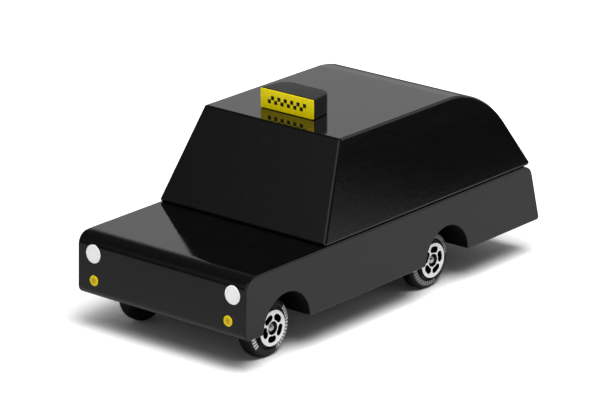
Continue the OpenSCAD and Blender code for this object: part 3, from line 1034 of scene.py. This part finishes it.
def window_loops(size, face_radius, inner_radius):
    """One window's edge and the edge of its share of the face, with the same count of points.

    The window is a slot along a circle with round ends. Its outer arc faces the face's rim, its
    ends face the lines half way to the next windows, and its inner arc faces the recess.
    """
    steps = SHARE_STEPS
    outer = face_radius - size.ring
    inner = outer - size.window
    middle, round_end = (outer + inner) / 2, size.window / 2
    share_turn = 180.0 / size.windows
    reach = share_turn - math.degrees(math.asin((size.spoke / 2 + round_end) / middle))
    ends = [
        middle * np.array([math.cos(turn), math.sin(turn)])
        for turn in (math.radians(reach), math.radians(-reach))]
    sections = [
        arc((0, 0), outer, -reach, reach, steps),
        arc(ends[0], round_end, reach, reach + 180, steps),
        arc((0, 0), inner, reach, -reach, steps),
        arc(ends[1], round_end, 180 - reach, 360 - reach, steps)]
    signs = (1, 1, -1, 1)
    edge = np.concatenate([points[:-1] for points, _ in sections])
    facing = np.concatenate([sign * normals[:-1] for sign, (_, normals) in zip(signs, sections)])
    rim = arc((0, 0), face_radius, -share_turn, share_turn, steps)[0]
    hole = arc((0, 0), inner_radius, share_turn, -share_turn, steps)[0]
    down = rim[-1] + np.linspace(0, 1, steps + 1)[:, None] * (hole[0] - rim[-1])
    back = hole[-1] + np.linspace(0, 1, steps + 1)[:, None] * (rim[0] - hole[-1])
    border = np.concatenate([part[:-1] for part in (rim, down, hole, back)])
    return edge, facing, border


def raised(flat, height):
    """Points of a wheel's plane set at a height along its axle."""
    return np.concatenate([flat, np.full(flat.shape[:-1] + (1,), height)], axis=-1)


def share_turns(size):
    """Turns that carry one window's share to its places round the wheel."""
    return [spin(2 * math.pi * k / size.windows) for k in range(size.windows)]


def round_wheel(skin, wheel, size, points, normals):
    """Repeats a closed grid of one window's share round the wheel."""
    for turned in share_turns(size):
        skin.grid(wheel.place(points @ turned), wheel.face(normals @ turned), closed=True)


def turned_section(skin, wheel, size, profile, normals):
    """Turns a profile about the axle in steps that meet those of the windows' shares."""
    revolve(skin, wheel, profile, normals, SHARE_STEPS * size.windows, -math.pi / size.windows)


def face_skin(size, wheel):
    """The silver face: a ring with windows, whose edges are rounded by a quarter circle.

    Each share is ruled from its border to its window's edge, and drops round the edge to the
    face's back, which is ruled the same way. The rim and the recess are turned about the axle.
    """
    radius, back, _ = wheel.section("face")
    recess, edge = size.recess / 2, size.face_edge
    window, facing, border = window_loops(size, radius - edge, recess + edge)
    quarter = np.linspace(0, math.pi / 2, FACE_EDGE_STEPS + 1)
    drop = quarter[:, None, None]
    centre = raised(window + edge * facing, -edge)
    around = np.cos(drop) * Z - np.sin(drop) * raised(facing, 0.0)
    front, wall = raised(border, 0.0)[None], raised(window, back)[None]
    rows = np.concatenate([front, centre + edge * around, wall])
    normals = np.concatenate([np.broadcast_to(Z, front.shape), around, around[-1:]])
    skin = Skin()
    round_wheel(skin, wheel, size, rows, normals)
    rear = np.stack([raised(border, back), raised(window, back)])
    round_wheel(skin, wheel, size, rear, -Z)
    for reach, way in ((radius, 1.0), (recess, -1.0)):
        turned = np.stack([way * np.sin(quarter), np.cos(quarter)], axis=1)
        shoulder = np.array([reach - way * edge, -edge]) + edge * turned
        side = np.array([[reach, back], [reach - way * edge, back]])
        profile = np.concatenate([shoulder, side[:1], side])
        normals = np.concatenate([turned, turned[-1:], [[0, -1], [0, -1]]])
        turned_section(skin, wheel, size, profile, normals)
    return skin


def hub_skin(size, wheel):
    """The black hub: a turned section with rims, groove, dish, boss and bore, and its pockets.

    The section starts at the recess and ends with a flat ring across the front, in to the recess
    and out to the rim again. That ring lies twice across the pockets' mouths, so the windows show
    its black plastic, a dark sheet in place of the pockets' shade. The front is also ruled round
    the pockets as the silver face is, and each pocket has upright walls and a flat floor.
    """
    radius, front, _ = wheel.section("face")
    _, inner, outer = wheel.section("tyre")
    rim, end, _ = wheel.section("hub")
    recess, bore, boss, soft = size.recess / 2, size.bore / 2, size.boss / 2, HUB_EDGE
    floor, dish, channel = front - size.recess_depth, inner + size.dish, outer - size.channel
    groove = rim - size.groove
    wall, inner_rim, outer_rim = groove - size.rim, inner + size.rim, outer - size.rim
    points, normals = outline([
        (radius, front, 0), (recess, front, 0), (recess, floor, 0), (bore, floor, soft),
        (bore, end, soft), (boss, end, soft), (boss, dish, soft), (wall, dish, soft),
        (wall, inner, soft), (rim, inner, soft), (rim, inner_rim, soft), (groove, inner_rim, 0),
        (groove, outer_rim, 0), (rim, outer_rim, 0), (rim, channel, 0), (radius, channel, 0)],
        steps=4)
    before_recess = 3
    points, normals = (np.roll(part, -before_recess, axis=0) for part in (points, normals))
    # This point lays the front ring a second time over the pockets' mouths, a dark sheet where they
    # are only in shade
    points = np.concatenate([points, [[radius, front]]])
    normals = np.concatenate([normals, normals[-1:]])
    skin = Skin()
    turned_section(skin, wheel, size, points, normals)
    window, facing, border = window_loops(size, radius, recess)
    round_wheel(skin, wheel, size, np.stack([raised(border, front), raised(window, front)]), Z)
    depth = front - size.pocket
    walls = np.stack([raised(window, front), raised(window, depth)])
    round_wheel(skin, wheel, size, walls, -raised(facing, 0.0))
    # The loop starts half way round an end, so that the cap's strip joins the two long sides
    bottom = np.roll(raised(window, depth), len(window) // 8, axis=0)
    for turned in share_turns(size):
        skin.cap(wheel.place(bottom @ turned), wheel.face(Z))
    return skin


def tyre_skin(size, wheel):
    """The tyre: a section with wide round shoulders and a channel by the face, turned."""
    radius, inner, outer = wheel.section("tyre")
    bore, _, _ = wheel.section("hub")
    lip, floor = bore + size.lip, outer - size.channel
    points, normals = outline([
        (bore, inner, size.bead), (radius, inner, size.shoulder), (radius, outer, size.shoulder),
        (lip, outer, size.bead), (lip, floor, 0), (bore, floor, 0)], steps=16)
    return revolve(Skin(), wheel, points, normals, columns=160, closed=True)


class TAXI_OT_wheels(bpy.types.Operator):
    """Builds the tyre, the hub and the silver face of each wheel"""

    bl_idname = "toy_taxi.wheels"
    bl_label = "Wheels"

    def execute(self, context):
        size = context.scene.toy_taxi_wheels
        for corner in CORNERS:
            end, body = corner.split("_")[0], corner + "_wheel"
            wheel = WheelFrame(corner, getattr(size, end + "_turn"))
            tyre = tyre_skin(size, wheel).build(corner + "_tyre_rubber")
            dress(tyre, body, tyre_rubber(*TYRE_PRINT[end]), corner + "_tyre")
            hub = hub_skin(size, wheel).build(corner + "_hub_moulding")
            dress(hub, body, black_plastic(HUB_GLOSS), corner + "_hub")
            face = face_skin(size, wheel).build(corner + "_face_foil")
            dress(face, body, silver_foil(), corner + "_face")
        return {"FINISHED"}


# Axles, carriers, screws and dowels

def axle_skin(size, end):
    """An axle turned about its own line: a straight shank with a spherical cap at each end.

    The ball of a cap passes through its tip and the rim of its flat underside, which gives its
    radius. The second half of the section is the first one mirrored about the axle's middle.
    """
    low, high = box_of(end + "_axle")
    wheel = WheelFrame(end + "_left")
    head, shank, height = (high[1] - low[1]) / 2, size.axle / 2, size.head_height
    tip, far = high[0] - wheel.origin[0], low[0] - wheel.origin[0]
    seat = tip - height
    ball = (head ** 2 + height ** 2) / (2 * height)
    reach = math.degrees(math.asin(head / ball))
    cap, cap_facing = arc((0, tip - ball), ball, 90, 90 - reach, steps=16)
    points = np.concatenate([cap, [[head, seat], [shank, seat], [shank, seat]]])
    normals = np.concatenate([cap_facing, [[0, -1], [0, -1], [1, 0]]])
    mirror, middle = np.array([1, -1]), np.array([0, (tip + far) / 2])
    points = np.concatenate([points, mirror * (points[::-1] - middle) + middle])
    normals = np.concatenate([normals, mirror * normals[::-1]])
    return revolve(Skin(), wheel, points, normals, columns=64)


class TAXI_OT_running_gear(bpy.types.Operator):
    """Builds the axles and finishes the carriers, the screws and the dowels"""

    bl_idname = "toy_taxi.running_gear"
    bl_label = "Running gear"

    def execute(self, context):
        size = context.scene.toy_taxi_wheels
        for end in ENDS:
            piece = axle_skin(size, end).build(end + "_axle_wire")
            dress(piece, CHASSIS, bright_steel(), end + "_axle")
        finishes = {
            "front_carrier": black_plastic(CARRIER_GLOSS),
            "rear_carrier": black_plastic(CARRIER_GLOSS),
            "carrier_screws": bright_steel(),
            "cab_dowels": bare_beech(),
            "sign_dowel": bare_beech()}
        for node, material in finishes.items():
            mesh = frame["nodes"][node].data
            mesh.materials.clear()
            mesh.materials.append(material)
        return {"FINISHED"}


# The stage

# Soft boxes of the studio as the gloss shows them: direction, inner and outer half angle, strength
STUDIO_BOXES = {
    "rear sky": ((0.35, 0.75, 0.50), 18.0, 35.0, 0.50),
    "rear box": ((0.19, 0.74, 0.65), 5.0, 11.0, 0.70),
    "front box": ((0.10, -0.88, 0.46), 20.0, 50.0, 0.80),
}
# The studio's bright wall, given as a box is. Heights are the upward part of a direction of length
# one: over the first pair it brightens from its light at the foot, over the second it fades out
STUDIO_WALL = ((-0.64, 0.77, 0.0), 48.0, 70.0, 0.64)
WALL_FOOT, WALL_FOOT_LIGHT, WALL_TOP = (-0.05, 0.26), 0.45, (0.35, 0.45)
# Strength of the rest of the studio in the gloss, and of the even light on the paint
STUDIO_DARK, STUDIO_SOFT = 0.05, 0.26
# What the camera sees the paper multiplied by
FLOOR_EXPOSURE = 1.25
# Light that lifts the paper to white for the camera, and the distances over which it sets in
LIFT, LIFT_RANGE = 0.6, (0.10, 0.25)
# The lit pool on the paper in the gloss: its middle, its light, and where it is full and gone
POOL_MIDDLE, POOL, POOL_RANGE = (0.06, -0.04, 0.0), 0.535, (0.12, 0.48)
# Light beyond the pool, from behind the car to its left, and the slanting range of that change
FAR_BEHIND, FAR_LEFT, FAR_RANGE = 0.04, 0.42, (-0.04, 0.05)
# Share of light before the nose, and the range along the car over which it becomes whole
NOSE_SHARE, NOSE_RANGE = 0.56, (-0.09, 0.0)
# Place, side and watts of each lamp, and the point at which they aim
LAMPS = {
    "key": ((0.30, -0.15, 0.72), 0.50, 7.2),
    "fill": ((0.05, -0.35, 0.61), 0.30, 0.9),
}
LAMP_AIM = (0.0, 0.0, 0.015)
# Width of the camera's sensor in millimetres, and its nearest and farthest sight in metres
SENSOR_WIDTH, SIGHT = 36.0, (0.01, 20.0)


def studio_world(recipe):
    """White to the camera, an even soft light to the paint, and to the gloss a dark studio.

    The studio has a low bright wall at the rear, which fades towards the ground and ends at a third
    of the way up, and a few soft boxes.
    """
    towards = recipe.place("Generated")
    height = recipe.part(towards, 2)

    def box(direction, inner, outer, strength):
        facing = recipe.measure("DOT_PRODUCT", towards, tuple(Vector(direction).normalized()))
        full, gone = math.cos(math.radians(inner)), math.cos(math.radians(outer))
        return recipe.ramp(facing, gone, full, 0.0, strength)

    foot = recipe.ramp(height, *WALL_FOOT, WALL_FOOT_LIGHT, 1.0)
    studio = box(*STUDIO_WALL) * foot * recipe.ramp(height, *WALL_TOP, 1.0, 0.0) + STUDIO_DARK
    for settings in STUDIO_BOXES.values():
        studio = studio + box(*settings)
    camera, gloss = recipe.ray("Camera"), recipe.gloss_ray()
    strength = camera + (1 - camera) * (gloss * studio + (1 - gloss) * STUDIO_SOFT)
    background = recipe.node("ShaderNodeBackground", inputs={
        "Color": (1, 1, 1, 1), "Strength": strength})
    recipe.node("ShaderNodeOutputWorld", inputs={"Surface": background})


def floor_paper(recipe, shade):
    """Matt paper, whose shadows stay.

    The camera sees it exposed to white where it is lit. The gloss sees it lit beside the car,
    dimmer before the nose and dark in the distance, most of all behind.
    """
    place = recipe.place()
    across, along = recipe.part(place, 0), recipe.part(place, 1)
    away = recipe.measure("DISTANCE", place, POOL_MIDDLE)
    far = recipe.ramp(across - along, *FAR_RANGE, FAR_BEHIND, FAR_LEFT)
    pool = recipe.ramp(away, *POOL_RANGE, POOL, far)
    pool = pool * recipe.ramp(along, *NOSE_RANGE, NOSE_SHARE, 1.0)
    paper = recipe.mottled(recipe.noise(place, scale=700.0), shade, 0.995, 1.0)
    camera = recipe.ray("Camera")
    seen = recipe.blend(camera, paper, tone(shade, FLOOR_EXPOSURE))
    matt = recipe.node("ShaderNodeBsdfDiffuse", inputs={
        "Color": recipe.blend(recipe.gloss_ray(), seen, pool)})
    glow = recipe.node("ShaderNodeEmission", inputs={
        "Color": camera * recipe.ramp(away, *LIFT_RANGE, 0.0, LIFT)})
    both = recipe.node("ShaderNodeAddShader", inputs={0: matt, 1: glow})
    recipe.node("ShaderNodeOutputMaterial", inputs={"Surface": both})


def soft_lamp(name, place, side, watts):
    """A square soft lamp that lights the paper and the paint, and stays out of the gloss."""
    data = bpy.data.lights.new(name, "AREA")
    data.energy, data.size = watts, side
    lamp = bpy.data.objects.new(name, data)
    lamp.location = place
    lamp.rotation_mode = "QUATERNION"
    lamp.rotation_quaternion = (Vector(LAMP_AIM) - Vector(place)).to_track_quat("-Z", "Y")
    lamp.visible_glossy = False
    bpy.context.scene.collection.objects.link(lamp)


class TAXI_OT_stage(bpy.types.Operator):
    """Lays the pale floor, lights the studio and sets the camera"""

    bl_idname = "toy_taxi.stage"
    bl_label = "Stage"

    def execute(self, context):
        scene = context.scene
        settings = scene.toy_taxi_stage
        scene.view_settings.view_transform = "Standard"
        world = bpy.data.worlds.new("studio")
        studio_world(Recipe(world))
        scene.world = world
        self.lay_floor(settings.floor_half, scene.toy_taxi_colours.floor)
        for name, lamp in LAMPS.items():
            soft_lamp(name, *lamp)
        scene.camera = self.set_camera(settings)
        return {"FINISHED"}

    def lay_floor(self, half, shade):
        """A flat square of paper under the wheels."""
        x, y = np.meshgrid([-half, half], [-half, half], indexing="ij")
        floor = Skin().grid(np.stack([x, y, np.zeros_like(x)], axis=-1), Z).build("floor")
        paper = bpy.data.materials.new("paper")
        floor_paper(Recipe(paper), tuple(shade))
        floor.data.materials.append(paper)

    def set_camera(self, settings):
        """A long lens at the photograph's angle, aimed so that the car takes its place in it."""
        a, e = settings.azimuth, settings.elevation
        back = Vector((math.sin(a) * math.cos(e), -math.cos(a) * math.cos(e), math.sin(e)))
        right = Vector((math.cos(a), math.sin(a), 0.0))
        up = back.cross(right)
        aim = Vector((0.0, settings.aim_back, settings.aim_up))
        place = aim + back * settings.distance
        target = aim + right * settings.aim_right + up * settings.aim_rise
        away = (place - target).normalized()
        side = up.cross(away).normalized()
        data = bpy.data.cameras.new("camera")
        data.lens, data.sensor_width = settings.lens, SENSOR_WIDTH
        data.clip_start, data.clip_end = SIGHT
        camera = bpy.data.objects.new("camera", data)
        turn = Matrix((side, away.cross(side), away)).transposed().to_4x4()
        camera.matrix_world = Matrix.Translation(place) @ turn
        bpy.context.scene.collection.objects.link(camera)
        return camera


OPERATORS = (
    TAXI_OT_lower_body,
    TAXI_OT_cab,
    TAXI_OT_roof_sign,
    TAXI_OT_lamps,
    TAXI_OT_wheels,
    TAXI_OT_running_gear,
    TAXI_OT_stage,
)


class VIEW3D_PT_toy_taxi(bpy.types.Panel):
    """Lists the pieces of the toy taxi and their sizes"""

    bl_label = "Toy taxi"
    bl_space_type = "VIEW_3D"
    bl_region_type = "UI"
    bl_category = "Toy taxi"

    def draw(self, context):
        for operator in OPERATORS:
            self.layout.operator(operator.bl_idname)
        for name, group in SETTINGS.items():
            box = self.layout.box()
            box.label(text=group.__doc__)
            for key in group.__annotations__:
                box.prop(getattr(context.scene, name), key)


CLASSES = (*SETTINGS.values(), *OPERATORS, VIEW3D_PT_toy_taxi)


def register():
    for each in CLASSES:
        bpy.utils.register_class(each)
    for name, group in SETTINGS.items():
        setattr(bpy.types.Scene, name, PointerProperty(type=group))


def unregister():
    for name in SETTINGS:
        delattr(bpy.types.Scene, name)
    for each in reversed(CLASSES):
        bpy.utils.unregister_class(each)


def main():
    register()
    for operator in OPERATORS:
        group, name = operator.bl_idname.split(".")
        getattr(getattr(bpy.ops, group), name)()


if __name__ == "__main__":
    main()
